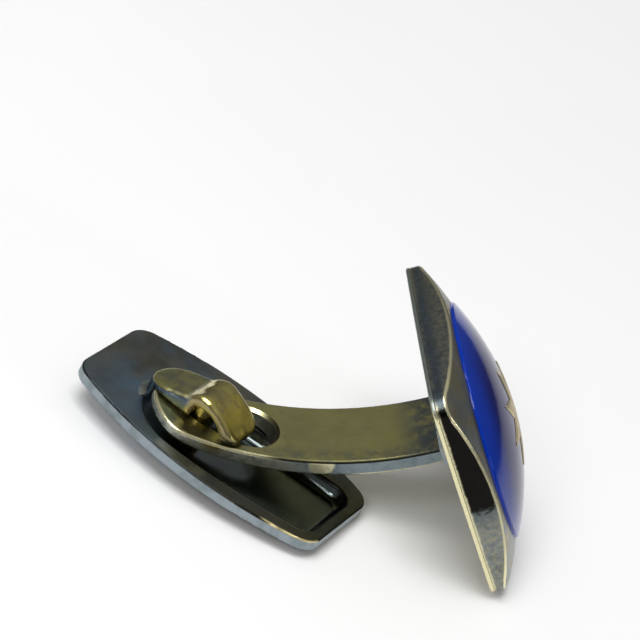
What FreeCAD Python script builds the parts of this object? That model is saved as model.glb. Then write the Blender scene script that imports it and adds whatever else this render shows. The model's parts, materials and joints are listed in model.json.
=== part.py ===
# Swivel-back cufflink: enamelled square face, curved arm with an eye, pressed toggle on a staple.
# Modelling frame of the link: X along the post towards the enamel, Z up the face, origin at the
# middle of the face's back. At the end everything is laid down as the cufflink rests on a table.
import math
import os

import FreeCAD
import Part

doc = FreeCAD.newDocument("cufflink")
Vector = FreeCAD.Vector
SLACK = 0.01  # tolerance, in mm, for picking edges by position
PROBE = 0.05  # step, in mm, for telling metal from air beside an edge
STEEP = 0.9  # share of an edge's direction along an axis from which it counts as running along it

SIZES = [
    ("face_side", 17.0),
    ("face_corner", 1.4),
    ("face_bow", 0.3),
    ("back_lip", 0.03),
    ("back_thickness", 0.3),
    ("back_edge_radius", 0.1),
    ("front_radius", 23.0),
    ("front_height", 2.25),
    ("wall_edge_radius", 0.3),
    ("seat_rim", 0.4),
    ("seat_floor", 1.4),
    ("seat_gap", 0.03),
    ("ground_edge", 1.75),
    ("ground_apex", 3.7),
    ("enamel_edge", 2.6),
    ("enamel_apex", 4.6),
    ("enamel_edge_radius", 0.15),
    ("star_reach", 3.6),
    ("star_waist", 1.75),
    ("star_proud", 0.06),
    ("arm_width", 6.0),
    ("arm_thickness", 1.1),
    ("tip_thickness", 0.7),
    ("arm_radius", 22.55),
    ("arm_root", 0.88),
    ("arm_edge_radius", 0.22),
    ("tip_shoulder", 2.0),
    ("swivel_run", 16.4),
    ("tip_margin", 0.6),
    ("eye_radius", 2.05),
    ("eye_length", 3.05),
    ("eye_slack", 0.1),
    ("eye_bevel", 0.2),
    ("solder_reach", 0.7),
    ("solder_spread", 0.55),
    ("solder_crown", 0.08),
    ("toggle_length", 19.8),
    ("toggle_end_width", 8.3),
    ("toggle_width", 12.4),
    ("toggle_corner", 1.7),
    ("toggle_thickness", 0.85),
    ("toggle_edge_radius", 0.15),
    ("toggle_shift_along", 1.6),
    ("toggle_shift_across", 1.15),
    ("dish_radius", 3.95),
    ("dish_inset", 1.2),
    ("dish_end_inset", 0.75),
    ("dish_end_margin", 0.72),
    ("dish_depth", 0.85),
    ("dish_floor", 0.45),
    ("dish_taper", 25.0),
    ("dish_corner", 1.5),
    ("dish_floor_radius", 0.5),
    ("dish_rim_radius", 0.2),
    ("staple_width", 3.7),
    ("staple_leg", 0.5),
    ("leg_width", 2.6),
    ("staple_gap", 0.1),
    ("tongue_end", 0.12),
    ("tongue_crease", 1.5),
    ("crease_x", -0.95),
    ("crease_radius", 0.4),
    ("hump_crest", 2.15),
    ("hump_crest_x", 0.3),
    ("hump_roof", 0.55),
    ("lip_reach", 3.3),
    ("lip_thickness", 0.2),
    ("lip_bulge", 0.14),
    ("lip_corner", 0.9),
    ("block_end", -0.35),
    ("staple_round", 0.3),
    ("pin_radius", 0.9),
    ("bead_width", 0.45),
    ("bead_height", 0.35),
    ("bead_sweep", 86.0),
    ("swivel_at_rest", 35.0),
]

sheet = doc.addObject("Spreadsheet::Sheet", "sizes")
for row, (alias, value) in enumerate(SIZES, start=1):
    sheet.set(f"A{row}", alias)
    sheet.set(f"B{row}", str(value))
    sheet.setAlias(f"B{row}", alias)
doc.recompute()


def size(alias):
    """Read one size from the sheet."""
    return float(sheet.get(alias))


def bind(feature, prop, formula):
    """Tie a property to the sheet; sheet sizes in the formula are written as plain names."""
    words = formula.replace("(", " ( ").replace(")", " ) ").split()
    aliases = {alias for alias, _ in SIZES}
    feature.setExpression(prop, " ".join(f"sizes.{word}" if word in aliases else word for word in words))


def new_body(name):
    body = doc.addObject("PartDesign::Body", name)
    body.Label = name
    return body


def new_sketch(body, name, role, height=0.0, place=None):
    """A sketch on one of the body's own origin planes, lifted by height or laid at a placement."""
    sketch = body.newObject("Sketcher::SketchObject", name)
    plane = next(item for item in body.Origin.OriginFeatures if item.Role == role)
    sketch.AttachmentSupport = [(plane, "")]
    sketch.MapMode = "FlatFace"
    sketch.AttachmentOffset = place or FreeCAD.Placement(Vector(0, 0, height), FreeCAD.Rotation())
    return sketch


def draw(sketch, pieces):
    """Add pieces to a sketch: two points make a line, three points make an arc through the middle one."""
    for piece in pieces:
        points = [Vector(x, y, 0) for x, y in piece]
        if len(points) == 2:
            sketch.addGeometry(Part.LineSegment(points[0], points[1]), False)
        else:
            sketch.addGeometry(Part.Arc(points[0], points[1], points[2]), False)


def chain(points):
    """Closed run of straight pieces through the points."""
    return [[points[i], points[(i + 1) % len(points)]] for i in range(len(points))]


def feature(body, kind, name, sketch, **settings):
    """Add a sketch-based feature, make it the tip and recompute it."""
    item = body.newObject("PartDesign::" + kind, name)
    item.Profile = sketch
    for prop, value in settings.items():
        setattr(item, prop, value)
    sketch.Visibility = False
    body.Tip = item
    return item


def add_pad(body, name, sketch, length, reverse=False, both=False, taper=0.0):
    item = feature(body, "Pad", name, sketch, Reversed=reverse, TaperAngle=taper)
    item.SideType = "Symmetric" if both else "One side"
    bind(item, "Length", length)
    doc.recompute()
    return item


def add_pocket(body, name, sketch, length, reverse=False, both=False, taper=0.0):
    before = body.Shape.Volume
    item = feature(body, "Pocket", name, sketch, Reversed=reverse, TaperAngle=taper)
    item.SideType = "Symmetric" if both else "One side"
    bind(item, "Length", length)
    doc.recompute()
    if body.Shape.Volume > before - 1e-4:
        raise RuntimeError(f"{name} cut nothing")
    return item


def add_turn(body, kind, name, sketch):
    """Full turn about the sketch's horizontal axis."""
    item = feature(body, kind, name, sketch, Angle=360.0)
    item.ReferenceAxis = (sketch, ["H_Axis"])
    doc.recompute()
    return item


def dress(body, kind, name, chosen, prop, formula):
    """Fillet or chamfer the edges of the body's tip that the test picks."""
    base = body.Tip
    names = [f"Edge{i}" for i, edge in enumerate(base.Shape.Edges, start=1) if chosen(edge)]
    if not names:
        raise RuntimeError(f"{name} found no edges")
    item = body.newObject("PartDesign::" + kind, name)
    item.Base = (base, names)
    bind(item, prop, formula)
    body.Tip = item
    doc.recompute()
    return item


def middle(edge):
    """Point halfway along an edge."""
    return edge.valueAt((edge.FirstParameter + edge.LastParameter) / 2)


def cushion(side, corner):
    """Square outline with slightly bowed sides and tangent round corners."""
    half = side / 2
    bow = size("face_bow")
    side_radius = (half ** 2 + bow ** 2) / (2 * bow)
    back = side_radius - half
    inner = side_radius - corner
    middle_of_corner = (math.sqrt(2 * inner ** 2 - back ** 2) - back) / 2
    touch_x = (middle_of_corner + back) * side_radius / inner - back
    touch_y = middle_of_corner * side_radius / inner
    bend = middle_of_corner + corner * math.sqrt(0.5)
    quarter = [[(touch_x, -touch_y), (half, 0), (touch_x, touch_y)],
               [(touch_x, touch_y), (bend, bend), (touch_y, touch_x)]]
    pieces = []
    for cos, sin in [(1, 0), (0, 1), (-1, 0), (0, -1)]:
        pieces += [[(x * cos - y * sin, x * sin + y * cos) for x, y in piece] for piece in quarter]
    return pieces


def cap_height(edge_height, edge_radius, apex, radius):
    """Height of a spherical cap, known by its apex and one edge circle, at a distance from the axis."""
    sag = apex - edge_height
    ball = (edge_radius ** 2 + sag ** 2) / (2 * sag)
    return apex - ball + math.sqrt(ball ** 2 - radius ** 2)


# Face: back plate, domed frame with a round seat, ground disc, enamel dome and star inlay
half_side = size("face_side") / 2
seat_radius = half_side - size("seat_rim")
disc_radius = seat_radius - size("seat_gap")
front_ball = size("front_radius")
front_apex = size("front_height") + front_ball - math.sqrt(front_ball ** 2 - half_side ** 2)

back_plate = new_body("back_plate")
back_sketch = new_sketch(back_plate, "back_outline", "YZ_Plane")
draw(back_sketch, cushion(size("face_side") + 2 * size("back_lip"), size("face_corner") + size("back_lip")))
add_pad(back_plate, "back_pad", back_sketch, "back_thickness")
dress(back_plate, "Fillet", "back_edges", lambda edge: True, "Radius", "back_edge_radius")

face_frame = new_body("face_frame")
frame_sketch = new_sketch(face_frame, "frame_outline", "YZ_Plane", size("back_thickness"))
draw(frame_sketch, cushion(size("face_side"), size("face_corner")))
add_pad(face_frame, "frame_pad", frame_sketch, "enamel_apex")
front_reach = size("face_side")
front_drop = front_apex - front_ball + math.sqrt(front_ball ** 2 - front_reach ** 2)
beyond = 2 * size("enamel_apex")
front_sketch = new_sketch(face_frame, "front_dome", "XZ_Plane")
draw(front_sketch, [
    [(front_apex, 0), (size("front_height"), half_side), (front_drop, front_reach)],
    [(front_drop, front_reach), (beyond, front_reach)],
    [(beyond, front_reach), (beyond, 0)],
    [(beyond, 0), (front_apex, 0)],
])
add_turn(face_frame, "Groove", "front_cut", front_sketch)
seat_sketch = new_sketch(face_frame, "seat_circle", "YZ_Plane", size("seat_floor"))
seat_sketch.addGeometry(Part.Circle(Vector(0, 0, 0), Vector(0, 0, 1), seat_radius), False)
add_pocket(face_frame, "seat_cut", seat_sketch, "enamel_apex", reverse=True)


def front_outer_edge(edge):
    point = middle(edge)
    outside = math.hypot(point.y, point.z) > seat_radius + size("seat_rim") / 4
    across = abs(edge.tangentAt(edge.FirstParameter).x) < STEEP
    return outside and across and point.x > size("back_thickness") + SLACK


dress(face_frame, "Fillet", "front_edges", front_outer_edge, "Radius", "wall_edge_radius")


def cap_pieces(bottom_edge, bottom_apex, top_edge, top_apex, radius):
    """Half section of a cap-shaped disc about X; a flat bottom has equal edge and apex."""
    half = radius / 2
    lower = [(bottom_apex, 0), (bottom_edge, radius)]
    if bottom_apex > bottom_edge:
        lower.insert(1, (cap_height(bottom_edge, radius, bottom_apex, half), half))
    return [
        lower,
        [(bottom_edge, radius), (top_edge, radius)],
        [(top_edge, radius), (cap_height(top_edge, radius, top_apex, half), half), (top_apex, 0)],
        [(top_apex, 0), (bottom_apex, 0)],
    ]


enamel_ground = new_body("enamel_ground")
ground_sketch = new_sketch(enamel_ground, "ground_section", "XZ_Plane")
floor = size("seat_floor")
draw(ground_sketch, cap_pieces(floor, floor, size("ground_edge"), size("ground_apex"), disc_radius))
add_turn(enamel_ground, "Revolution", "ground_turn", ground_sketch)


def star_pieces():
    """Eight-pointed star with one point up."""
    points = []
    for step in range(16):
        reach = size("star_reach") if step % 2 == 0 else size("star_waist")
        points.append((reach * math.sin(step * math.pi / 8), reach * math.cos(step * math.pi / 8)))
    return chain(points)


enamel_dome = new_body("enamel_dome")
enamel_sketch = new_sketch(enamel_dome, "enamel_section", "XZ_Plane")
draw(enamel_sketch, cap_pieces(size("ground_edge"), size("ground_apex"),
                               size("enamel_edge"), size("enamel_apex"), disc_radius))
add_turn(enamel_dome, "Revolution", "enamel_turn", enamel_sketch)


def enamel_rim(edge):
    point = middle(edge)
    return point.x > size("enamel_edge") - SLACK and math.hypot(point.y, point.z) > disc_radius - SLACK


dress(enamel_dome, "Fillet", "enamel_rim", enamel_rim, "Radius", "enamel_edge_radius")
hole_sketch = new_sketch(enamel_dome, "star_hole", "YZ_Plane")
draw(hole_sketch, star_pieces())
add_pocket(enamel_dome, "star_cut", hole_sketch, "enamel_apex * 2", reverse=True)

gold_ornament = new_body("gold_ornament")
star_sketch = new_sketch(gold_ornament, "star_outline", "YZ_Plane", size("seat_floor"))
draw(star_sketch, star_pieces())
add_pad(gold_ornament, "star_pad", star_sketch, "enamel_apex")
under_sketch = new_sketch(gold_ornament, "star_underside", "XZ_Plane")
draw(under_sketch, cap_pieces(0, 0, size("ground_edge"), size("ground_apex"), disc_radius))
add_turn(gold_ornament, "Groove", "star_under_cut", under_sketch)
proud = size("star_proud")
star_half = cap_height(size("enamel_edge"), disc_radius, size("enamel_apex"), disc_radius / 2) + proud
star_top = size("enamel_apex") + proud
over_sketch = new_sketch(gold_ornament, "star_top", "XZ_Plane")
draw(over_sketch, [
    [(star_top, 0), (star_half, disc_radius / 2), (size("enamel_edge") + proud, disc_radius)],
    [(size("enamel_edge") + proud, disc_radius), (beyond, disc_radius)],
    [(beyond, disc_radius), (beyond, 0)],
    [(beyond, 0), (star_top, 0)],
])
add_turn(gold_ornament, "Groove", "star_top_cut", over_sketch)

# Arm: a strip bent to an arc, with a round tip and an egg-shaped eye about the swivel axis
arm_half = size("arm_width") / 2
bend_centre = size("arm_root") + size("arm_radius")
swivel_slope = size("swivel_run") / size("arm_radius")
tip_radius = arm_half + size("tip_margin")
arm_end = (size("swivel_run") + tip_radius + size("tip_margin")) / size("arm_radius")


def on_arc(radius, angle):
    """Point of the side view on an arc about the arm's bend centre."""
    return (-radius * math.sin(angle), bend_centre - radius * math.cos(angle))


def arm_pieces():
    top = size("arm_radius")
    under = top + size("arm_thickness")
    thinned = top + size("tip_thickness")
    return [
        [on_arc(top, 0), on_arc(top, arm_end / 2), on_arc(top, arm_end)],
        [on_arc(top, arm_end), on_arc(thinned, arm_end)],
        [on_arc(thinned, arm_end), on_arc(under, arm_end / 2), on_arc(under, 0)],
        [on_arc(under, 0), on_arc(top, 0)],
    ]


swivel_x, swivel_z = on_arc(size("arm_radius"), swivel_slope)
swivel_point = Vector(swivel_x, 0, swivel_z)
tilt = FreeCAD.Rotation(Vector(0, 1, 0), math.degrees(swivel_slope))
swivel_frame = FreeCAD.Placement(swivel_point, tilt)

arm = new_body("arm")
arm_sketch = new_sketch(arm, "arm_side", "XZ_Plane")
draw(arm_sketch, arm_pieces())
add_pad(arm, "arm_strip", arm_sketch, "arm_width", both=True)
tip_start = -math.sqrt(tip_radius ** 2 - arm_half ** 2)
clear = 2 * tip_radius
tip_sketch = new_sketch(arm, "tip_round", "XY_Plane", place=swivel_frame)
draw(tip_sketch, [
    [(tip_start, -arm_half), (-tip_radius, 0), (tip_start, arm_half)],
    *chain([(tip_start, arm_half), (tip_start, clear), (-clear, clear), (-clear, -clear), (tip_start, -clear),
            (tip_start, -arm_half)])[:-1],
])
add_pocket(arm, "tip_cut", tip_sketch, "arm_width", both=True)


def tip_shoulder_edge(edge):
    point = middle(edge)
    short = edge.Length < 2 * size("arm_thickness")
    return short and abs(abs(point.y) - arm_half) < SLACK and point.x < -arm_half


def long_arm_edge(edge):
    point = middle(edge)
    return edge.Length > size("swivel_run") / 2 and abs(point.y) > arm_half - SLACK


dress(arm, "Fillet", "tip_shoulders", tip_shoulder_edge, "Radius", "tip_shoulder")
dress(arm, "Fillet", "arm_edges", long_arm_edge, "Radius", "arm_edge_radius")
eye = size("eye_radius")
eye_end = size("eye_length")
eye_small = size("pin_radius") + size("eye_slack")


def egg_pieces(small, large, apart):
    """Outline round two circles on the x axis, the small one at the origin, with tangent sides."""
    lean_back = (large - small) / apart
    upright = math.sqrt(1 - lean_back ** 2)
    low_near, low_far = (-small * lean_back, -small * upright), (apart - large * lean_back, -large * upright)
    high_near, high_far = (low_near[0], -low_near[1]), (low_far[0], -low_far[1])
    return [[high_near, (-small, 0), low_near], [low_near, low_far],
            [low_far, (apart + large, 0), high_far], [high_far, high_near]]


eye_sketch = new_sketch(arm, "eye", "XY_Plane", place=swivel_frame)
draw(eye_sketch, egg_pieces(eye_small, eye, eye_end))
add_pocket(arm, "eye_cut", eye_sketch, "arm_width", both=True)


def eye_top_edge(edge):
    point = middle(edge)
    level = abs(math.hypot(point.x, point.z - bend_centre) - size("arm_radius"))
    inside = abs(point.y) < eye + SLACK and -eye_small - SLACK < swivel_frame.inverse().multVec(point).x
    return level < SLACK and inside and point.x < -arm_half


dress(arm, "Chamfer", "eye_rim", eye_top_edge, "Size", "eye_bevel")

# Solder: the fillet of metal that joins the arm to the back of the face
arm_solder = new_body("arm_solder")
arm_low = size("arm_root") - size("arm_thickness")


def foot_rectangle(grow):
    return chain([(-arm_half - grow, arm_low - grow), (arm_half + grow, arm_low - grow),
                  (arm_half + grow, size("arm_root") + grow), (-arm_half - grow, size("arm_root") + grow)])


foot_sketch = new_sketch(arm_solder, "solder_foot", "YZ_Plane")
draw(foot_sketch, foot_rectangle(size("solder_spread")))
crown_sketch = new_sketch(arm_solder, "solder_crown", "YZ_Plane", -size("solder_reach"))
draw(crown_sketch, foot_rectangle(size("solder_crown")))
feature(arm_solder, "AdditiveLoft", "solder_loft", foot_sketch, Ruled=True, Sections=[crown_sketch])
crown_sketch.Visibility = False
doc.recompute()
slot_sketch = new_sketch(arm_solder, "solder_slot", "XZ_Plane")
draw(slot_sketch, arm_pieces())
add_pocket(arm_solder, "solder_cut", slot_sketch, "arm_width", both=True)

# Toggle: pressed plate with a dish, drawn about the swivel axis with its length along x
rim = -(size("arm_thickness") + size("tip_thickness")) / 2
mid_x = size("toggle_shift_along")
mid_y = size("toggle_shift_across")
toggle_half = size("toggle_length") / 2
end_half = size("toggle_end_width") / 2
side_half = size("toggle_width") / 2
toggle_plate = new_body("toggle_plate")
barrel_sketch = new_sketch(toggle_plate, "barrel", "XY_Plane", rim)
left, right = mid_x - toggle_half, mid_x + toggle_half
draw(barrel_sketch, [
    [(left, mid_y + end_half), (left, mid_y - end_half)],
    [(left, mid_y - end_half), (mid_x, mid_y - side_half), (right, mid_y - end_half)],
    [(right, mid_y - end_half), (right, mid_y + end_half)],
    [(right, mid_y + end_half), (mid_x, mid_y + side_half), (left, mid_y + end_half)],
])
add_pad(toggle_plate, "barrel_pad", barrel_sketch, "toggle_thickness", reverse=True)


def upright_edge(edge):
    return abs(edge.tangentAt(edge.FirstParameter).z) > STEEP


dress(toggle_plate, "Fillet", "barrel_corners", upright_edge, "Radius", "toggle_corner")
dress(toggle_plate, "Fillet", "barrel_edges", lambda edge: not upright_edge(edge),
      "Radius", "toggle_edge_radius")

dish_level = rim - size("dish_depth")
dish_r = size("dish_radius")
dish_end = right - size("dish_end_inset")
dish_end_half = end_half - size("dish_end_margin")


def dish_side(start, end):
    """Arc leaving the swivel circle's side point along x towards end, then the round into the blunt end."""
    corner = size("dish_corner")
    centre_y = (end[0] ** 2 + end[1] ** 2 - start ** 2) / (2 * (end[1] - start))
    radius = abs(start - centre_y)
    towards_middle = (centre_y - start) * start < 0
    reach = radius - corner if towards_middle else radius + corner
    round_x = end[0] - corner
    round_y = centre_y + math.copysign(math.sqrt(reach ** 2 - round_x ** 2), start - centre_y)
    touch = (round_x * radius / reach, centre_y + (round_y - centre_y) * radius / reach)
    halfway = touch[0] / 2
    height = centre_y + math.copysign(math.sqrt(radius ** 2 - halfway ** 2), start - centre_y)
    turn = math.atan2(touch[1] - round_y, touch[0] - round_x) / 2
    bend = (round_x + corner * math.cos(turn), round_y + corner * math.sin(turn))
    return [(0, start), (halfway, height), touch], [touch, bend, (end[0], round_y)]


def dish_pieces():
    """Round end about the swivel axis, then two sides that run smoothly to a blunt end with round corners."""
    low, low_corner = dish_side(-dish_r, (dish_end, mid_y - dish_end_half))
    high, high_corner = dish_side(dish_r, (dish_end, mid_y + dish_end_half))
    return [[(0, dish_r), (-dish_r, 0), (0, -dish_r)], low, low_corner, [low_corner[2], high_corner[2]],
            high_corner[::-1], high[::-1]]


bulge_sketch = new_sketch(toggle_plate, "dish_bulge", "XY_Plane", dish_level)
draw(bulge_sketch, dish_pieces())
add_pad(toggle_plate, "bulge_pad", bulge_sketch, "dish_floor", reverse=True, taper=-size("dish_taper"))
dish_sketch = new_sketch(toggle_plate, "dish", "XY_Plane", rim)
draw(dish_sketch, dish_pieces())
add_pocket(toggle_plate, "dish_cut", dish_sketch, "dish_depth", taper=-size("dish_taper"))


def dish_rim_edge(edge):
    point = middle(edge)
    along = -dish_r - SLACK < point.x < dish_end + SLACK
    across = abs(point.y - mid_y) < side_half - size("dish_inset") / 2
    return abs(point.z - rim) < SLACK and along and across


dish_bottom = next(face for face in toggle_plate.Tip.Shape.Faces
                   if abs(face.CenterOfMass.z - dish_level) < SLACK and face.normalAt(0, 0).z > STEEP)


def dish_floor_edge(edge):
    return any(edge.isSame(other) for other in dish_bottom.Edges)


dress(toggle_plate, "Fillet", "dish_floor_edge", dish_floor_edge, "Radius", "dish_floor_radius")
dress(toggle_plate, "Fillet", "dish_rim", dish_rim_edge, "Radius", "dish_rim_radius")

# Staple: a tongue on a leg beyond the arm's tip, a hump with a lip, and the pin down through the eye
toggle_staple = new_body("toggle_staple")
staple_half = size("staple_width") / 2
roof = size("hump_roof")
leg_inside = tip_radius + size("staple_gap")
leg_outside = leg_inside + size("staple_leg")
end_centre = -leg_outside + staple_half
bar_top = tip_radius ** 2 / (2 * size("arm_radius")) + size("staple_gap")
lip = size("lip_reach")
lip_level = (lip ** 2 + staple_half ** 2) / (2 * size("arm_radius")) + size("staple_gap")
lip_top = lip_level + size("lip_thickness")
crease = (size("crease_x"), size("tongue_crease"))
crest = (size("hump_crest_x"), size("hump_crest"))
hump_end = (1.5 * crest[0] - crease[0] / 2, (3 * crest[1] + crease[1]) / 4)


def bulged(start, end, height):
    """Arc from start to end that stands off the straight line by a height, on its left-hand side."""
    run, rise = end[0] - start[0], end[1] - start[1]
    length = math.hypot(run, rise)
    return [start, ((start[0] + end[0] - 2 * height * rise / length) / 2,
                    (start[1] + end[1] + 2 * height * run / length) / 2), end]


roof_start = (size("block_end"), crease[1] - roof / 2)
roof_end = (lip - 2 * roof, lip_level)
block_foot = (size("block_end"), bar_top)
staple_sketch = new_sketch(toggle_staple, "staple_side", "XZ_Plane")
draw(staple_sketch, [
    [(-leg_outside, bar_top), (-leg_outside, bar_top + size("tongue_end"))],
    [(-leg_outside, bar_top + size("tongue_end")), crease],
    [crease, crest, hump_end],
    bulged(hump_end, (lip, lip_top), size("lip_bulge")),
    [(lip, lip_top), (lip, lip_level)],
    [(lip, lip_level), roof_end],
    bulged(roof_start, roof_end, roof)[::-1],
    [roof_start, block_foot],
    [block_foot, (-leg_outside, bar_top)],
])
add_pad(toggle_staple, "staple_strap", staple_sketch, "staple_width * 1.5", both=True)
leg_half = size("leg_width") / 2


def arc_about_axis(radius, half_width):
    """Arc about the swivel axis on the foot's side, between two points half_width off the middle."""
    start_x = -math.sqrt(radius ** 2 - half_width ** 2)
    return [(start_x, -half_width), (-radius, 0), (start_x, half_width)]


leg_sketch = new_sketch(toggle_staple, "leg", "XY_Plane", rim)
leg_arc = arc_about_axis(leg_inside, leg_half)
leg_corners = [leg_arc[2], (-leg_outside, leg_half), (-leg_outside, -leg_half), leg_arc[0]]
draw(leg_sketch, [leg_arc, *chain(leg_corners)[:-1]])
add_pad(toggle_staple, "leg_pad", leg_sketch, f"{bar_top + SLACK - rim}")

outline_sketch = new_sketch(toggle_staple, "staple_plan", "XY_Plane")
corner = size("lip_corner")
bend = corner * math.sqrt(0.5)
lip_flat = lip - corner
side_flat = staple_half - corner
around = 2 * leg_outside
draw(outline_sketch, [
    [(end_centre, staple_half), (-leg_outside, 0), (end_centre, -staple_half)],
    [(end_centre, -staple_half), (lip_flat, -staple_half)],
    [(lip_flat, -staple_half), (lip_flat + bend, -side_flat - bend), (lip, -side_flat)],
    [(lip, -side_flat), (lip, side_flat)],
    [(lip, side_flat), (lip_flat + bend, side_flat + bend), (lip_flat, staple_half)],
    [(lip_flat, staple_half), (end_centre, staple_half)],
    *chain([(-around, -around), (around, -around), (around, around), (-around, around)]),
])
add_pocket(toggle_staple, "staple_plan_cut", outline_sketch, "staple_width * 4", both=True)


def crease_edge(edge):
    point = middle(edge)
    return abs(point.y) < SLACK and math.hypot(point.x - crease[0], point.z - crease[1]) < SLACK


def staple_top_edge(edge):
    """Just inside the wall there is metal below the edge and none above it."""
    point = middle(edge)
    inward = Vector(min(max(point.x, end_centre), lip_flat), 0, point.z) - point
    if inward.Length < PROBE:
        return False
    probe = point + inward.normalize() * PROBE
    step = Vector(0, 0, 1.5 * PROBE)
    shape = toggle_staple.Tip.Shape
    return shape.isInside(probe - step, SLACK, True) and not shape.isInside(probe + step, SLACK, True)


dress(toggle_staple, "Fillet", "crease", crease_edge, "Radius", "crease_radius")
dress(toggle_staple, "Fillet", "staple_edges", staple_top_edge, "Radius", "staple_round")
pin_sketch = new_sketch(toggle_staple, "pin", "XY_Plane", dish_level)
pin_sketch.addGeometry(Part.Circle(Vector(0, 0, 0), Vector(0, 0, 1), size("pin_radius")), False)
add_pad(toggle_staple, "pin_pad", pin_sketch, f"tongue_crease - ({dish_level})")

# Bead of solder round the outside of the staple's leg
staple_solder = new_body("staple_solder")
bead_place = FreeCAD.Placement(Vector(end_centre, rim, 0), FreeCAD.Rotation())
bead_sketch = new_sketch(staple_solder, "bead_section", "XZ_Plane", place=bead_place)
bead_top = (-staple_half, size("bead_height"))
bead_toe = (-staple_half - size("bead_width"), 0)
draw(bead_sketch, [
    [(-staple_half, 0), bead_top],
    bulged(bead_top, bead_toe, size("bead_width") / 6),
    [bead_toe, (-staple_half, 0)],
])
bead_turn = feature(staple_solder, "Revolution", "bead_turn", bead_sketch, Midplane=True)
bead_turn.ReferenceAxis = (bead_sketch, ["V_Axis"])
bind(bead_turn, "Angle", "bead_sweep")
doc.recompute()

# Lay the cufflink down: the face's lower edge and the toggle share one level
link_bodies = [back_plate, face_frame, enamel_ground, enamel_dome, gold_ornament, arm, arm_solder]
toggle_bodies = [toggle_plate, toggle_staple, staple_solder]
doc.recompute()
swivel_turn = FreeCAD.Placement(Vector(), FreeCAD.Rotation(Vector(0, 0, 1), -size("swivel_at_rest")))
toggle_frame = swivel_frame.multiply(swivel_turn)


def lowest(bodies, place):
    """Lowest height of some bodies once placed."""
    levels = []
    for body in bodies:
        shape = body.Shape.copy()
        shape.Placement = place.multiply(shape.Placement)
        levels.append(shape.optimalBoundingBox(False).ZMin)
    return min(levels)


def laid(lean):
    return FreeCAD.Placement(Vector(), FreeCAD.Rotation(Vector(0, 1, 0), -lean))


low_lean, high_lean = 20.0, 70.0
for _ in range(24):
    lean = (low_lean + high_lean) / 2
    face_gap = lowest([back_plate, face_frame], laid(lean))
    toggle_gap = lowest(toggle_bodies, laid(lean).multiply(toggle_frame))
    if face_gap > toggle_gap:
        high_lean = lean
    else:
        low_lean = lean
resting = laid(lean)

boxes = FreeCAD.BoundBox()
for body in link_bodies + toggle_bodies:
    shape = body.Shape.copy()
    local = toggle_frame if body in toggle_bodies else FreeCAD.Placement()
    shape.Placement = resting.multiply(local).multiply(shape.Placement)
    boxes.add(shape.optimalBoundingBox(False))
to_origin = FreeCAD.Placement(Vector(-boxes.Center.x, -boxes.Center.y, -boxes.ZMin), FreeCAD.Rotation())
link_place = to_origin.multiply(resting)
for body in link_bodies:
    body.Placement = link_place
for body in toggle_bodies:
    body.Placement = link_place.multiply(toggle_frame)
doc.recompute()

for item in doc.Objects:
    if any(state in ("Invalid", "Error") for state in item.State):
        raise RuntimeError(f"{item.Name} is {item.State}")
os.makedirs("parts", exist_ok=True)
for body in link_bodies + toggle_bodies:
    if body.Shape.isNull() or not body.Shape.isValid() or len(body.Shape.Solids) != 1:
        raise RuntimeError(f"{body.Label} is not one valid solid")
    body.Shape.exportStep(f"parts/{body.Label}.step")

axis_point = link_place.multVec(swivel_point)
axis = link_place.Rotation.multVec(swivel_frame.Rotation.multVec(Vector(0, 0, 1)))
print("lean", round(lean, 3), "box", boxes.XLength, boxes.YLength, boxes.ZLength)
print("swivel point", axis_point, "axis", axis)
print("placement", link_place)
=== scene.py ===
import json
import math

import bmesh
import bpy
from mathutils import Matrix, Vector

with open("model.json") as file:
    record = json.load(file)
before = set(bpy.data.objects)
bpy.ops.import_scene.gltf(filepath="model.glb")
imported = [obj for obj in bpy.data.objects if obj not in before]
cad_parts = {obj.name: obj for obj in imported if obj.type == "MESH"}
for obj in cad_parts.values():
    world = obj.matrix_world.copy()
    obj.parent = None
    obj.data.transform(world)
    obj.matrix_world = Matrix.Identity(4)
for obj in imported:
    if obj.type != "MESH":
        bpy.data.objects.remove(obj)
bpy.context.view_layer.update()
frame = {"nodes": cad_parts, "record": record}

bl_info = {
    "name": "Swivel-back cufflink",
    "version": (1, 0, 0),
    "blender": (4, 5, 0),
    "location": "View3D > Sidebar > Cufflink",
    "description": "Dresses a packed cufflink with worn gilding and enamel, and sets it on a studio floor",
    "category": "Object",
}

# The link's frame comes from its cuff seat and the toggle's from its swivel joint
SEAT = frame["record"]["mounts"][0]
SWIVEL = frame["record"]["behaviour"]["joints"][0]
SWIVEL_AT_REST = math.radians(35)
MM = 1000
# Places on the arm and the back, in the link's frame in millimetres
BEND_MIDDLE = (0.0, 0.0, 23.43)
EYE_MIDDLE = (-14.6, 0.0, 6.2)
PALE_SPOT = (-8.4, -3.0, 2.2)
FOOT_MIDDLE = (0.0, 0.0, 0.3)
# Middle of the cool bloom on the plate, in the toggle's frame in millimetres
BLOOM_MIDDLE = (-3.0, -1.0, -0.9)
# Directions in a body's own frame
FORWARD = (1, 0, 0)
BACKWARD = (-1, 0, 0)
NEARWARD = (0, -1, 0)
UPWARD = (0, 0, 1)
# Each lamp's name, the stage setting with its power, its place and its width, in metres
LAMPS = (
    ("key_light", "key", (-0.17, -0.12, 0.5), 0.3),
    ("fill_light", "fill", (-0.3, -0.3, 0.33), 0.12),
    ("glancing_light", "glance", (0.4, -0.27, 0.17), 0.08),
)
FLOOR_REACH = 1.5


def link_frame():
    """Matrix from the row to the link: x along the post to the enamel, z up the face, in metres."""
    x_axis = -Vector(SEAT["axis"]).normalized()
    y_axis = Vector((0, 1, 0))
    z_axis = x_axis.cross(y_axis)
    turn = Matrix((x_axis, y_axis, z_axis)).to_4x4()
    return turn @ Matrix.Translation(-Vector(SEAT["pos_m"]))


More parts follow.
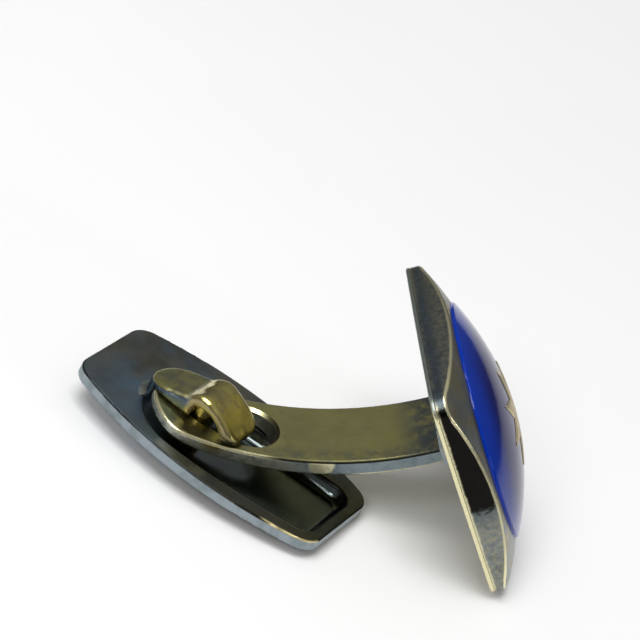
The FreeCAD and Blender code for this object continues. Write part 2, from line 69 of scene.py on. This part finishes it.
def toggle_frame():
    """Matrix from the row to the toggle: x along the plate, z along the swivel axis, in metres."""
    z_axis = Vector(SWIVEL["axis"]).normalized()
    y_axis = Vector((0, 1, 0))
    x_axis = y_axis.cross(z_axis)
    turn = Matrix((x_axis, y_axis, z_axis)).to_4x4()
    swivel = Matrix.Rotation(SWIVEL_AT_REST, 4, "Z")
    return swivel @ turn @ Matrix.Translation(-Vector(SWIVEL["pos_m"]))


def add_node(tree, kind, inputs=None, **settings):
    """Make a node; an input is either a value or a socket to link from."""
    made = tree.nodes.new(kind)
    for key, value in settings.items():
        setattr(made, key, value)
    for key, value in (inputs or {}).items():
        if isinstance(value, bpy.types.NodeSocket):
            tree.links.new(value, made.inputs[key])
        else:
            made.inputs[key].default_value = value
    return made


class Layers:
    """One material built up layer by layer, with masks measured in a body's own frame in millimetres.

    Satin finishes keep a roughness of 0.3 or more: just below that, a denoised render speckles.
    """

    def __init__(self, name, body_frame, colour, roughness):
        self.material = bpy.data.materials.new(name)
        self.material.use_nodes = True
        self.tree = self.material.node_tree
        self.tree.nodes.clear()
        coords = self.add("ShaderNodeTexCoord")
        place, turn, _ = body_frame.decompose()
        moved = self.add("ShaderNodeMapping", {
            "Vector": coords.outputs["Object"], "Location": place * MM, "Rotation": turn.to_euler(),
            "Scale": (MM, MM, MM),
        })
        turned = self.add("ShaderNodeMapping", {
            "Vector": coords.outputs["Normal"], "Rotation": turn.to_euler(),
        }, vector_type="VECTOR")
        self.place = moved.outputs["Vector"]
        self.normal = turned.outputs["Vector"]
        axes = self.add("ShaderNodeSeparateXYZ", {"Vector": self.place})
        self.x, self.y, self.z = axes.outputs
        self.colour = (*colour, 1.0)
        self.roughness = roughness
        self.relief = None

    def add(self, kind, inputs=None, **settings):
        """Make a node in this material."""
        return add_node(self.tree, kind, inputs, **settings)

    def number_math(self, operation, first, second=0.0):
        """One step of arithmetic on numbers."""
        return self.add("ShaderNodeMath", {0: first, 1: second}, operation=operation).outputs["Value"]

    def vector_math(self, operation, first, second):
        """One step of arithmetic on vectors, given as its node."""
        return self.add("ShaderNodeVectorMath", {0: first, 1: second}, operation=operation)

    def ramp(self, value, start, end, low=0.0, high=1.0):
        """Smooth step of a value from start to end, in either direction."""
        made = self.add("ShaderNodeMapRange", {
            "Value": value, "From Min": start, "From Max": end, "To Min": low, "To Max": high,
        }, interpolation_type="SMOOTHSTEP")
        return made.outputs["Result"]

    def between(self, value, low, high, soft=0.08):
        """Where a value lies between two others."""
        above = self.ramp(value, low - soft, low + soft)
        below = self.ramp(value, high + soft, high - soft)
        return self.both(above, below)

    def both(self, *masks):
        """Where all the masks are."""
        found = masks[0]
        for mask in masks[1:]:
            found = self.number_math("MULTIPLY", found, mask)
        return found

    def either(self, first, second):
        """Where one mask or the other is."""
        return self.number_math("MAXIMUM", first, second)

    def without(self, mask):
        """Where the mask is not."""
        return self.number_math("SUBTRACT", 1.0, mask)

    def absolute(self, value):
        """A value without its sign."""
        return self.number_math("ABSOLUTE", value)

    def uneven(self, value, noise, amount):
        """A value shifted by a noise, so that a mask made from it has a ragged border."""
        return self.number_math("ADD", value, self.number_math("MULTIPLY", noise, amount))

    def noise(self, scale, detail=4.0, roughness=0.55, distortion=0.0, stretch=(1, 1, 1), shift=0.0):
        """Noise with a scale in features per millimetre."""
        spread = self.add("ShaderNodeMapping", {
            "Vector": self.place, "Scale": stretch, "Location": (shift, shift / 2, -shift),
        })
        made = self.add("ShaderNodeTexNoise", {
            "Vector": spread.outputs["Vector"], "Scale": scale, "Detail": detail, "Roughness": roughness,
            "Distortion": distortion,
        })
        return made.outputs["Fac"]

    def clouds(self, scale, start=0.42, end=0.62, **settings):
        """Patches where a noise is high."""
        return self.ramp(self.noise(scale, **settings), start, end)

    def along(self, direction):
        """How far the surface looks in a direction of the body's frame, from -1 to 1."""
        return self.vector_math("DOT_PRODUCT", self.normal, direction).outputs["Value"]

    def facing(self, direction, start=0.6, end=0.9):
        """Where the surface looks in a direction of the body's frame."""
        return self.ramp(self.along(direction), start, end)

    def near_point(self, point, radius, soft):
        """Inside a ball round a point."""
        away = self.vector_math("DISTANCE", self.place, point).outputs["Value"]
        return self.ramp(away, radius, radius - soft)

    def rubbed_edges(self, width, start=0.02, end=0.25):
        """Where the surface turns within a width, as at a rounded edge."""
        softened = self.add("ShaderNodeBevel", {"Radius": width / MM}, samples=6)
        geometry = self.add("ShaderNodeNewGeometry")
        match = self.vector_math("DOT_PRODUCT", softened.outputs["Normal"], geometry.outputs["Normal"])
        return self.ramp(match.outputs["Value"], 1.0 - start, 1.0 - end)

    def cover(self, mask, colour, roughness=None, amount=1.0):
        """Lay a colour, and a roughness if given, over the layers so far."""
        part = mask if amount == 1.0 else self.number_math("MULTIPLY", mask, amount)
        made = self.add("ShaderNodeMix", {0: part, 6: self.colour, 7: (*colour, 1.0)}, data_type="RGBA")
        self.colour = made.outputs[2]
        if roughness is not None:
            made = self.add("ShaderNodeMix", {0: part, 2: self.roughness, 3: roughness})
            self.roughness = made.outputs[0]

    def dull(self, mask, more):
        """Add to the roughness where the mask is."""
        self.roughness = self.number_math("ADD", self.roughness, self.number_math("MULTIPLY", mask, more))

    def soften(self, width):
        """Round the shading of the edges, as polishing does."""
        self.relief = self.add("ShaderNodeBevel", {"Radius": width / MM}, samples=8).outputs["Normal"]

    def emboss(self, height, strength, depth):
        """Bump of a depth in millimetres over the relief so far."""
        inputs = {"Height": height, "Strength": strength, "Distance": depth / MM}
        if self.relief is not None:
            inputs["Normal"] = self.relief
        self.relief = self.add("ShaderNodeBump", inputs).outputs["Normal"]

    def scratches(self, stretch, shift=0.0):
        """Short streaks along the directions that are stretched least."""
        return self.clouds(1.4, 0.56, 0.8, detail=2.0, roughness=0.6, stretch=stretch, shift=shift)

    def wear(self, grain=0.2):
        """Fine grain, shallow dents and rubbing marks that all the metal has."""
        lengthwise = self.scratches((0.25, 6.0, 6.0))
        crosswise = self.scratches((4.5, 0.5, 3.0), shift=9.0)
        self.dull(self.either(lengthwise, crosswise), 0.06)
        self.dull(self.clouds(1.3, 0.4, 0.7, detail=5.0, roughness=0.65, shift=4.0), 0.08)
        self.emboss(self.noise(16.0, 3.0, 0.6), grain, 0.015)
        self.emboss(self.noise(0.9, 3.0, 0.5, shift=6.0), 0.15, 0.1)

    def close(self, **sockets):
        """Join the layers to the shader and give the material."""
        inputs = {"Base Color": self.colour, "Roughness": self.roughness, **sockets}
        if self.relief is not None:
            inputs["Normal"] = self.relief
        shader = self.add("ShaderNodeBsdfPrincipled", inputs)
        self.add("ShaderNodeOutputMaterial", {"Surface": shader.outputs["BSDF"]})
        return self.material


def face_metal(finish):
    """Satin walls: worn silver between gilded edges, with a painted dark reflection on the near wall and a
    painted highlight at the corners.
    """
    metal = Layers("satin_gilding", link_frame(), finish.gilding, 0.32)
    forward = metal.along(FORWARD)
    front = metal.ramp(forward, 0.3, 0.6)
    walls = metal.ramp(metal.absolute(forward), 0.4, 0.2)
    top_wall = metal.facing(UPWARD)
    near_wall = metal.facing(NEARWARD)
    # Domed front: brown and cool patches in the gilding
    metal.cover(metal.both(front, metal.clouds(0.5, 0.3, 0.55)), finish.bronze, 0.3, 0.6)
    cool = metal.clouds(0.7, 0.35, 0.6, detail=6.0, shift=6.0)
    metal.cover(metal.both(front, cool), finish.cool_silver, 0.32, 0.7)
    # Walls: worn to the silver, mottled and specked
    worn = metal.clouds(0.8, 0.2, 0.4, detail=7.0, roughness=0.7)
    metal.cover(metal.both(walls, metal.ramp(metal.x, 0.15, 0.6), worn), finish.silver, 0.38)
    mottle = metal.clouds(1.6, 0.36, 0.6, detail=8.0, roughness=0.75)
    blue = metal.both(walls, top_wall, metal.ramp(metal.y, 5.5, 0.5), mottle)
    metal.cover(blue, finish.blue_tarnish, 0.3, 0.8)
    pale = metal.both(walls, metal.clouds(2.4, 0.46, 0.7, detail=8.0, roughness=0.75, shift=5.0))
    metal.cover(pale, finish.edge_silver, 0.4, 0.22)
    metal.cover(metal.both(walls, metal.clouds(3.2, 0.5, 0.68, detail=6.0)), finish.tarnish, 0.4, 0.3)
    grain = metal.clouds(2.6, 0.3, 0.66, detail=8.0, roughness=0.75, shift=7.0)
    low_wall = metal.both(near_wall, metal.ramp(metal.z, 0.0, -3.0))
    metal.cover(metal.both(low_wall, grain), finish.edge_silver, 0.4, 0.5)
    gilt_grain = metal.clouds(2.8, 0.35, 0.65, detail=8.0, roughness=0.75, shift=1.0)
    metal.cover(metal.both(low_wall, gilt_grain), finish.gilding, 0.4, 0.6)
    gilt_side = metal.both(top_wall, metal.ramp(metal.x, 0.7, 1.5), grain)
    metal.cover(gilt_side, finish.gilding, 0.36, 0.6)
    # Painted dark reflection: near-black over the upper part of the near wall
    ragged = metal.uneven(metal.z, metal.noise(0.9, 6.0, 0.6, 0.8), 3.4)
    oxide_and_dark_reflection = metal.both(near_wall, metal.ramp(ragged, 0.9, 1.5))
    metal.cover(oxide_and_dark_reflection, finish.oxide_and_dark_reflection, 0.16, 0.98)
    # Edges: rubbed gold, with a painted highlight brightest at the corners, and a line along the back
    edge = metal.both(metal.between(forward, 0.22, 0.72), metal.clouds(1.2, 0.15, 0.4, shift=3.0))
    metal.cover(edge, finish.rubbed_gold_and_highlight, 0.3, 0.5)
    # Painted highlight: pale gold near the corners of the face, where the rounded edges catch the light
    far_out = metal.ramp(metal.absolute(metal.y), 4.0, 7.0)
    far_up = metal.ramp(metal.absolute(metal.z), 3.0, 6.5)
    metal.cover(metal.both(edge, far_out, far_up), finish.rubbed_gold_and_highlight, 0.22, 0.9)
    frayed = metal.uneven(metal.x, metal.noise(1.5, 7.0, 0.65, shift=8.0), 0.35)
    back_line = metal.both(walls, metal.ramp(frayed, 0.66, 0.5), metal.without(top_wall))
    metal.cover(back_line, finish.rubbed_gold_and_highlight, 0.3, 0.7)
    metal.wear(0.35)
    return metal.close(Metallic=1.0)


def back_metal(finish):
    """Flat back: brushed satin gilding, rubbed bright at its rim and tarnished round the arm's foot."""
    metal = Layers("rubbed_back", link_frame(), finish.gilding, 0.32)
    metal.cover(metal.clouds(0.22, 0.38, 0.66, detail=5.0), finish.olive, 0.34, 0.6)
    metal.cover(metal.clouds(0.5, 0.46, 0.7, detail=7.0, shift=5.0), finish.edge_silver, 0.38, 0.5)
    metal.cover(metal.clouds(1.3, 0.55, 0.75, detail=7.0, shift=2.0), finish.bronze, 0.4, 0.4)
    foot = metal.both(metal.near_point(FOOT_MIDDLE, 6.0, 3.6), metal.clouds(0.8, 0.3, 0.6, detail=7.0))
    metal.cover(foot, finish.blue_tarnish, 0.36, 0.75)
    brushing = metal.noise(1.0, 3.0, 0.6, stretch=(1.0, 0.2, 9.0))
    metal.emboss(brushing, 0.25, 0.012)
    rim = metal.ramp(metal.along(BACKWARD), 0.96, 0.8)
    metal.cover(rim, finish.rubbed_gold_and_highlight, 0.24, 0.9)
    metal.cover(metal.both(rim, metal.facing(UPWARD, 0.3, 0.7)), finish.cool_silver, 0.36, 0.85)
    metal.wear(0.2)
    return metal.close(Metallic=1.0)


def arm_metal(finish):
    """Arm: olive gilding on the broad faces, bare silver on the sides, painted lighter near the tip, blue
    tarnish at the root, and painted highlight and dark reflection lines on the edges.
    """
    metal = Layers("olive_gilding", link_frame(), finish.olive, 0.3)
    spoke = metal.vector_math("SUBTRACT", BEND_MIDDLE, metal.place).outputs["Vector"]
    spoke = metal.vector_math("MULTIPLY", spoke, (1, 0, 1)).outputs["Vector"]
    upward = metal.along(metal.vector_math("NORMALIZE", spoke, (0, 0, 0)).outputs["Vector"])
    side = metal.ramp(metal.absolute(upward), 0.55, 0.3)
    metal.cover(metal.clouds(0.28, 0.4, 0.7, detail=5.0), finish.bronze, 0.3, 0.3)
    metal.cover(metal.clouds(0.5, 0.45, 0.7, detail=6.0, shift=8.0), finish.gilding, None, 0.2)
    near_strip = metal.ramp(metal.y, -1.2, -2.3)
    worn = metal.clouds(1.2, 0.4, 0.62, detail=8.0, roughness=0.7)
    metal.cover(metal.both(near_strip, worn), finish.blue_tarnish, 0.34, 0.45)
    metal.cover(metal.clouds(0.9, 0.5, 0.85, detail=3.0, shift=2.0), finish.tarnish, None, 0.25)
    root = metal.ramp(metal.x, -3.6, -1.2)
    bloom = metal.clouds(0.9, 0.34, 0.56, detail=8.0, roughness=0.7)
    metal.cover(metal.both(root, bloom), finish.blue_tarnish, 0.36, 0.85)
    metal.cover(side, finish.cool_silver, 0.42)
    # Painted reflection: the side near the tip drawn lighter, in bare silver and rubbed gold
    tip_side_painted_lighter = metal.both(side, metal.ramp(metal.x, -8.5, -11.5))
    metal.cover(tip_side_painted_lighter, finish.edge_silver, 0.45, 0.95)
    metal.cover(tip_side_painted_lighter, finish.rubbed_gold_and_highlight, 0.4, 0.4)
    mottle = metal.clouds(1.4, 0.45, 0.65, detail=7.0, roughness=0.7)
    metal.cover(metal.both(side, mottle), finish.blue_tarnish, 0.42, 0.5)
    patch = metal.both(side, metal.near_point(PALE_SPOT, 1.0, 0.3), metal.clouds(1.8, 0.3, 0.4))
    metal.cover(patch, finish.rubbed_gold_and_highlight, 0.3, 0.9)
    # Edges: rubbed gold with a painted highlight on the bottom edges and near the tip, and a painted dark
    # reflection on the top edges nearer the face
    edge = metal.between(metal.absolute(upward), 0.2, 0.92, 0.06)
    rubbed_and_highlit_edge = metal.either(metal.ramp(upward, 0.2, -0.2), metal.ramp(metal.x, -10.5, -12.5))
    metal.cover(metal.both(edge, rubbed_and_highlit_edge), finish.rubbed_gold_and_highlight, 0.2, 0.85)
    metal.cover(metal.both(edge, metal.without(rubbed_and_highlit_edge)), finish.oxide_and_dark_reflection, 0.3, 0.92)
    eye = metal.both(side, metal.near_point(EYE_MIDDLE, 3.2, 0.3))
    metal.cover(eye, finish.bright_gold, 0.16, 0.9)
    metal.wear(0.1)
    return metal.close(Metallic=1.0)


def solder_metal(name, body_frame, finish):
    """Solder: dull silver with pits and a little gilding left on it."""
    metal = Layers(name, body_frame, finish.edge_silver, 0.36)
    metal.cover(metal.clouds(0.9, 0.42, 0.6, detail=6.0), finish.gilding, 0.34, 0.5)
    metal.cover(metal.clouds(1.7, 0.48, 0.64, detail=7.0, shift=5.0), finish.blue_tarnish, 0.42, 0.5)
    metal.emboss(metal.clouds(3.4, 0.6, 0.7), -0.5, 0.03)
    metal.wear(0.4)
    return metal.close(Metallic=1.0)


def plate_metal(finish):
    """Toggle plate: dark olive clouded with blue, bare silver edges with a painted dark reflection along
    their top, and a near-black glossy dish.
    """
    metal = Layers("dark_gilding", toggle_frame(), finish.dark_olive, 0.3)
    metal.cover(metal.clouds(0.3, 0.38, 0.62, detail=5.0, distortion=0.5), finish.bronze, 0.3, 0.4)
    dark = metal.clouds(0.22, 0.44, 0.66, detail=5.0, distortion=0.4, shift=11.0)
    metal.cover(dark, finish.tarnish, 0.34, 0.6)
    round_staple = metal.near_point(BLOOM_MIDDLE, 4.6, 3.2)
    bloom = metal.both(round_staple, metal.clouds(0.45, 0.3, 0.6, shift=4.0))
    metal.cover(bloom, finish.blue_haze, 0.36, 0.9)
    metal.cover(metal.clouds(0.35, 0.5, 0.7, detail=6.0, shift=7.0), finish.blue_haze, 0.36, 0.5)
    near_side = metal.both(metal.ramp(metal.y, 1.0, -2.5), metal.ramp(metal.x, 2.0, -3.0))
    metal.cover(near_side, finish.blue_haze, 0.36, 0.35)
    metal.cover(metal.ramp(metal.x, -1.0, 4.0), finish.tarnish, 0.3, 0.75)
    upward = metal.along(UPWARD)
    side = metal.ramp(metal.absolute(upward), 0.6, 0.3)
    inside = metal.both(metal.ramp(metal.z, -0.98, -1.14), metal.ramp(upward, 0.1, 0.3))
    outside = metal.both(side, metal.without(inside))
    metal.cover(outside, finish.edge_silver, 0.34)
    mottle = metal.clouds(0.9, 0.42, 0.62, detail=7.0)
    metal.cover(metal.both(outside, mottle), finish.cool_silver, 0.4, 0.8)
    metal.cover(metal.both(inside, metal.ramp(metal.x, -1.6, 0.4)), finish.dish_black, 0.14, 0.93)
    # Painted dark reflection: near-black along the plate's top edges
    edge = metal.both(metal.between(upward, 0.2, 0.94, 0.05), metal.ramp(metal.z, -1.25, -1.1))
    metal.cover(edge, finish.oxide_and_dark_reflection, 0.36, 0.85)
    dish_rim = metal.both(edge, metal.between(metal.y, -4.1, -2.2, 0.1), metal.ramp(metal.x, 1.0, 4.0))
    metal.cover(dish_rim, finish.glint, 0.3)
    metal.wear(0.15)
    return metal.close(Metallic=1.0)


def staple_metal(finish):
    """Staple: pale tongue, polished gold hump and a pale line at the crease between them."""
    metal = Layers("bright_gilding", toggle_frame(), finish.hump_gold, 0.07)
    metal.soften(0.45)
    metal.emboss(metal.noise(0.8, 1.0, 0.5, shift=2.0), 0.4, 0.3)
    metal.cover(metal.clouds(0.7, 0.4, 0.65, detail=5.0, shift=3.0), finish.bronze, 0.14, 0.4)
    tongue = metal.ramp(metal.x, -0.6, -1.0)
    metal.cover(tongue, finish.olive, 0.3)
    metal.cover(metal.both(tongue, metal.clouds(0.8, 0.4, 0.62, detail=6.0)), finish.silver, 0.3, 0.5)
    side = metal.ramp(metal.absolute(metal.along(UPWARD)), 0.5, 0.25)
    tongue_side = metal.both(side, tongue)
    metal.cover(side, finish.bronze, 0.2, 0.8)
    metal.cover(tongue_side, finish.blue_tarnish, 0.3, 0.97)
    metal.cover(metal.both(tongue_side, metal.clouds(1.5, 0.52, 0.62)), finish.edge_silver, 0.3, 0.7)
    crease = metal.both(metal.ramp(metal.x, -1.25, -0.95), metal.ramp(metal.x, -0.6, -0.85))
    metal.cover(metal.both(crease, metal.without(side)), finish.rubbed_gold_and_highlight, 0.25, 0.8)
    metal.cover(metal.rubbed_edges(0.2, 0.05, 0.3), finish.rubbed_gold_and_highlight, 0.2, 0.4)
    metal.wear(0.1)
    return metal.close(Metallic=1.0)


def star_metal(finish):
    """Inlaid star: matt gilding with a little tarnish."""
    metal = Layers("star_gilding", link_frame(), finish.star_gold, 0.36)
    metal.soften(0.5)
    metal.cover(metal.clouds(0.9, 0.42, 0.64, detail=6.0), finish.gilding, 0.38, 0.6)
    metal.cover(metal.clouds(2.2, 0.52, 0.76, detail=6.0, shift=4.0), finish.tarnish, 0.42, 0.35)
    metal.cover(metal.rubbed_edges(0.15), finish.rubbed_gold_and_highlight, 0.26, 0.8)
    metal.wear(0.4)
    return metal.close(Metallic=1.0)


def enamel_glass(finish):
    """Vitreous enamel: deep clear blue, lighter towards its rim, with tiny pits under a glassy coat."""
    glass = Layers("blue_enamel", link_frame(), finish.enamel_deep, 0.08)
    spoke = glass.vector_math("MULTIPLY", glass.place, (0, 1, 1)).outputs["Vector"]
    from_middle = glass.vector_math("LENGTH", spoke, (0, 0, 0)).outputs["Value"]
    # Lighter towards the rim and darker in the middle, with a ragged border
    ragged_from_middle = glass.uneven(from_middle, glass.noise(0.2, 3.0), 2.0)
    glass.cover(glass.ramp(ragged_from_middle, 6.2, 9.0), finish.enamel_light)
    glass.cover(glass.clouds(7.0, 0.66, 0.74, detail=2.0), finish.oxide_and_dark_reflection, None, 0.3)
    glass.dull(glass.clouds(4.0, 0.4, 0.8), 0.03)
    glass.emboss(glass.noise(0.6, 3.0, 0.5), 0.06, 0.1)
    return glass.close(**{"Specular IOR Level": 0.2, "IOR": 1.5})


def dress(node, material):
    """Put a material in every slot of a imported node."""
    slots = frame["nodes"][node].data.materials
    if not slots:
        slots.append(material)
    for index in range(len(slots)):
        slots[index] = material


def colour_prop(name, words, value):
    """A colour that a user can change."""
    return bpy.props.FloatVectorProperty(
        name=name, description=words, subtype="COLOR", size=3, min=0.0, max=1.0, default=value)


class CufflinkFinish(bpy.types.PropertyGroup):
    """Colours of the metal and the enamel."""

    gilding: colour_prop("Gilding", "Gilding left on the face and its back", (0.38, 0.35, 0.23))
    olive: colour_prop("Olive gilding", "Broad faces of the arm", (0.40, 0.38, 0.15))
    dark_olive: colour_prop("Dark olive", "Toggle plate", (0.17, 0.19, 0.18))
    bright_gold: colour_prop("Bright gold", "Inside of the arm's eye", (0.60, 0.48, 0.15))
    hump_gold: colour_prop("Hump gold", "Polished hump of the staple", (0.56, 0.48, 0.16))
    star_gold: colour_prop("Star gold", "Inlaid star", (0.58, 0.46, 0.24))
    # Used on worn edges, and as a painted highlight at the face's corners, on the arm's bottom edges and on
    # the arm's side near the tip
    rubbed_gold_and_highlight: colour_prop("Rubbed gold", "Edges that wear has polished", (0.84, 0.79, 0.50))
    glint: colour_prop("Glint", "Gilding that shines at the dish's rim", (0.92, 0.80, 0.42))
    bronze: colour_prop("Bronze", "Brown patches in the gilding", (0.24, 0.20, 0.12))
    silver: colour_prop("Silver", "Bare metal of the walls", (0.10, 0.12, 0.12))
    cool_silver: colour_prop("Cool silver", "Bare metal of the arm's sides", (0.21, 0.255, 0.27))
    edge_silver: colour_prop("Edge silver", "Bare metal of the plate's edge and solder", (0.30, 0.35, 0.38))
    blue_haze: colour_prop("Blue haze", "Cool bloom on the plate", (0.16, 0.24, 0.32))
    blue_tarnish: colour_prop("Blue tarnish", "Cool thin tarnish", (0.08, 0.11, 0.15))
    tarnish: colour_prop("Tarnish", "Dark specks and patches", (0.08, 0.08, 0.06))
    # Used for dark pits in the enamel, and as a painted dark reflection on the near wall and along the top
    # edges of the arm and the plate
    oxide_and_dark_reflection: colour_prop("Oxide", "Near-black thick tarnish", (0.008, 0.007, 0.006))
    dish_black: colour_prop("Dish", "Dark polished dish of the plate", (0.10, 0.12, 0.12))
    # Enamel drawn darker in the middle and lighter towards its rim
    enamel_deep: colour_prop("Deep enamel", "Thick middle of the enamel", (0.0, 0.003, 0.09))
    enamel_light: colour_prop("Light enamel", "Thin rim of the enamel", (0.0, 0.026, 0.31))


class CufflinkStage(bpy.types.PropertyGroup):
    """Floor, light and camera."""

    floor: colour_prop("Floor", "Colour of the studio floor", (0.93, 0.93, 0.93))
    floor_glow: bpy.props.FloatProperty(
        name="Floor glow", description="Light added to the floor where it is seen", default=0.06, min=0.0)
    zenith: bpy.props.FloatProperty(
        name="Zenith", description="Strength of the room's light overhead", default=0.45, min=0.0)
    horizon: bpy.props.FloatProperty(
        name="Horizon", description="Strength of the room's light at eye level", default=0.1, min=0.0)
    key: bpy.props.FloatProperty(
        name="Key light", description="Power of the large soft light", default=2.0, min=0.0,
        unit="POWER")
    fill: bpy.props.FloatProperty(
        name="Fill light", description="Power of the light by the camera", default=0.4, min=0.0,
        unit="POWER")
    glance: bpy.props.FloatProperty(
        name="Glancing light", description="Power of the small low light", default=0.12, min=0.0,
        unit="POWER")
    lens: bpy.props.FloatProperty(
        name="Lens", description="Focal length on a 36 mm sensor", default=188.94, min=1.0)
    camera_place: bpy.props.FloatVectorProperty(
        name="Camera place", description="Where the camera stands", subtype="TRANSLATION", unit="LENGTH",
        default=(-0.061504, -0.176162, 0.124407))
    camera_turn: bpy.props.FloatVectorProperty(
        name="Camera turn", description="How the camera is turned", subtype="EULER", unit="ROTATION",
        default=(0.984448, -0.368296, -0.087512))


class CUFFLINK_OT_face(bpy.types.Operator):
    """Finish the face: walls, back plate, ground, enamel and star"""

    bl_idname = "cufflink.face"
    bl_label = "Finish the face"

    def execute(self, context):
        finish = context.scene.cufflink_finish
        dress("face_frame", face_metal(finish))
        dress("back_plate", back_metal(finish))
        dress("enamel_ground", solder_metal("ground_metal", link_frame(), finish))
        dress("enamel_dome", enamel_glass(finish))
        dress("gold_ornament", star_metal(finish))
        return {"FINISHED"}


class CUFFLINK_OT_arm(bpy.types.Operator):
    """Finish the arm and its solder"""

    bl_idname = "cufflink.arm"
    bl_label = "Finish the arm"

    def execute(self, context):
        finish = context.scene.cufflink_finish
        dress("arm", arm_metal(finish))
        dress("arm_solder", solder_metal("arm_solder_metal", link_frame(), finish))
        return {"FINISHED"}


class CUFFLINK_OT_toggle(bpy.types.Operator):
    """Finish the toggle plate, its staple and their solder"""

    bl_idname = "cufflink.toggle"
    bl_label = "Finish the toggle"

    def execute(self, context):
        finish = context.scene.cufflink_finish
        dress("toggle_plate", plate_metal(finish))
        dress("toggle_staple", staple_metal(finish))
        dress("staple_solder", solder_metal("staple_solder_metal", toggle_frame(), finish))
        return {"FINISHED"}


class CUFFLINK_OT_stage(bpy.types.Operator):
    """Set the floor, the lights and the camera"""

    bl_idname = "cufflink.stage"
    bl_label = "Set the stage"

    def execute(self, context):
        stage = context.scene.cufflink_stage
        self.floor(context, stage)
        self.room(context, stage)
        for name, setting, place, width in LAMPS:
            self.soft_light(context, name, place, width, getattr(stage, setting))
        self.camera(context, stage)
        context.scene.view_settings.view_transform = "Standard"
        return {"FINISHED"}

    def floor(self, context, stage):
        """Pale paper that glows a little where it is seen, and keeps the shadow."""
        shape = bmesh.new()
        bmesh.ops.create_grid(shape, x_segments=1, y_segments=1, size=FLOOR_REACH)
        mesh = bpy.data.meshes.new("floor")
        shape.to_mesh(mesh)
        shape.free()
        floor = bpy.data.objects.new("floor", mesh)
        context.collection.objects.link(floor)
        paper = Layers("floor_paper", Matrix.Identity(4), stage.floor, 0.9)
        paper.cover(paper.clouds(0.02, 0.35, 0.65), [0.985 * part for part in stage.floor])
        seen = paper.add("ShaderNodeLightPath").outputs
        looked_at = paper.either(seen["Is Camera Ray"], seen["Is Glossy Ray"])
        looked_at = paper.either(looked_at, seen["Is Transmission Ray"])
        glow = paper.number_math("MULTIPLY", looked_at, stage.floor_glow)
        mesh.materials.append(paper.close(**{
            "Specular IOR Level": 0.1, "Emission Color": (1.0, 1.0, 1.0, 1.0), "Emission Strength": glow,
        }))

    def room(self, context, stage):
        """Room light that grows from the horizon to the zenith."""
        world = bpy.data.worlds.new("room")
        world.use_nodes = True
        tree = world.node_tree
        direction = add_node(tree, "ShaderNodeTexCoord").outputs["Generated"]
        height = add_node(tree, "ShaderNodeSeparateXYZ", {"Vector": direction}).outputs["Z"]
        strength = add_node(tree, "ShaderNodeMapRange", {
            "Value": height, "From Min": 0.0, "From Max": 1.0,
            "To Min": stage.horizon, "To Max": stage.zenith,
        })
        background = tree.nodes["Background"]
        background.inputs["Color"].default_value = (1.0, 1.0, 1.0, 1.0)
        tree.links.new(strength.outputs["Result"], background.inputs["Strength"])
        context.scene.world = world

    def soft_light(self, context, name, place, width, power):
        """Square lamp that looks at the cufflink."""
        data = bpy.data.lights.new(name, "AREA")
        data.shape = "SQUARE"
        data.size = width
        data.energy = power
        light = bpy.data.objects.new(name, data)
        light.location = place
        light.rotation_euler = (-Vector(place)).to_track_quat("-Z", "Y").to_euler()
        context.collection.objects.link(light)

    def camera(self, context, stage):
        """Camera at the photograph's viewing angle, for a square picture."""
        data = bpy.data.cameras.new("camera")
        data.lens = stage.lens
        data.sensor_width = 36
        data.clip_start = 0.01
        data.clip_end = 10
        camera = bpy.data.objects.new("camera", data)
        camera.location = stage.camera_place
        camera.rotation_euler = stage.camera_turn
        context.collection.objects.link(camera)
        context.scene.camera = camera


class CUFFLINK_PT_panel(bpy.types.Panel):
    """Lists the steps that dress the cufflink"""

    bl_idname = "CUFFLINK_PT_panel"
    bl_label = "Cufflink"
    bl_space_type = "VIEW_3D"
    bl_region_type = "UI"
    bl_category = "Cufflink"

    def draw(self, context):
        for step in STEPS:
            self.layout.operator(step.bl_idname)
        for group in (context.scene.cufflink_finish, context.scene.cufflink_stage):
            for name in group.__annotations__:
                self.layout.prop(group, name)


STEPS = (CUFFLINK_OT_stage, CUFFLINK_OT_face, CUFFLINK_OT_arm, CUFFLINK_OT_toggle)
CLASSES = (CufflinkFinish, CufflinkStage, *STEPS, CUFFLINK_PT_panel)


def register():
    """Add the classes and their settings to Blender."""
    for item in CLASSES:
        bpy.utils.register_class(item)
    bpy.types.Scene.cufflink_finish = bpy.props.PointerProperty(type=CufflinkFinish)
    bpy.types.Scene.cufflink_stage = bpy.props.PointerProperty(type=CufflinkStage)


def unregister():
    """Take the classes and their settings out again."""
    del bpy.types.Scene.cufflink_stage
    del bpy.types.Scene.cufflink_finish
    for item in reversed(CLASSES):
        bpy.utils.unregister_class(item)


def main():
    """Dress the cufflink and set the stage."""
    register()
    bpy.ops.cufflink.stage()
    bpy.ops.cufflink.face()
    bpy.ops.cufflink.arm()
    bpy.ops.cufflink.toggle()


if __name__ == "__main__":
    main()
